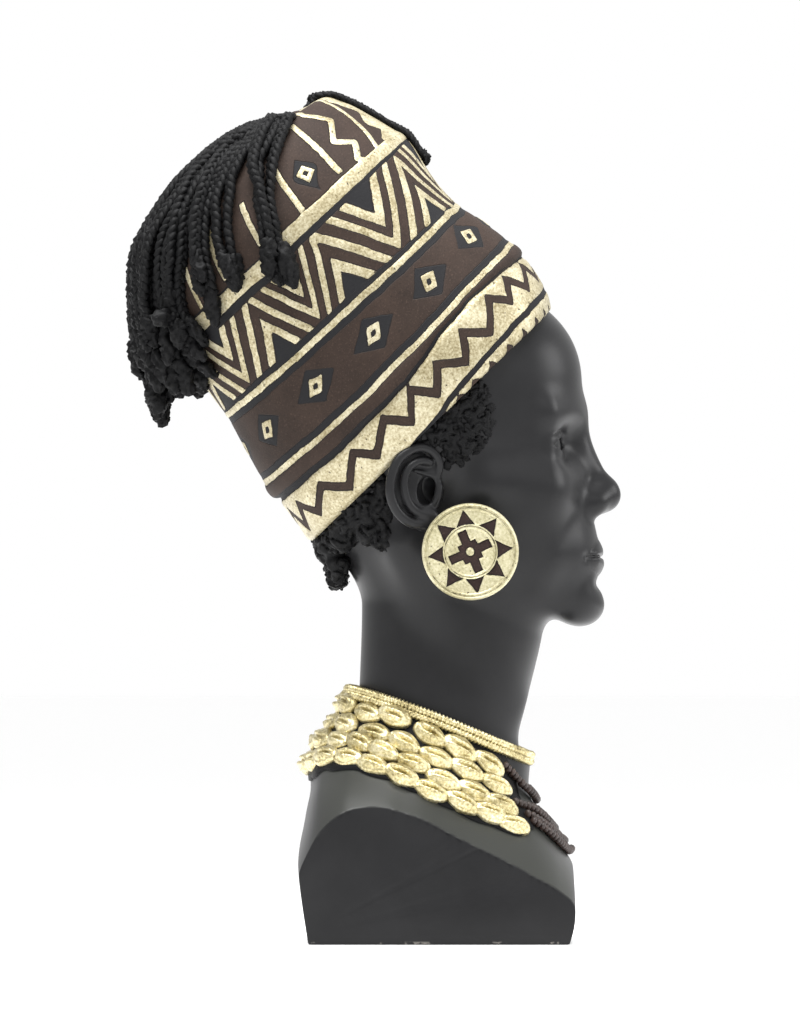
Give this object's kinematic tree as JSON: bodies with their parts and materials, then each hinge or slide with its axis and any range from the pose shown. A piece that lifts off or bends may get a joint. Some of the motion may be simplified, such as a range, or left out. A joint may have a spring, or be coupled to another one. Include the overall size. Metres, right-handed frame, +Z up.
{
  "type": "turbaned woman sculpture",
  "caption": "Decorative resin bust of a woman in a tall patterned head wrap with falling plaits, disc earrings and a shell collar, on a flat-cut shoulder base.",
  "frame": {"origin": "middle of the bounding box at the flat underside of the shoulder block", "axes": "+Z up; the face looks along -Y; the figure's right ear is on -X"},
  "size_m": [0.15, 0.2233, 0.38],
  "materials": {
    "black_resin": "satin black paint on cast resin",
    "gold_paint": "pale metallic gold paint on cast resin",
    "wrap_paint": "head wrap: pale gold, dark brown and black hand painting over a cloth-grained casting",
    "hair_black": "matte black paint on cast hair and plaits",
    "bead_brown": "dark brown painted beads"
  },
  "bodies": {
    "root": {"bust": "black_resin", "earring_right": "gold_paint", "earring_left": "gold_paint"}
  },
  "joints": []
}
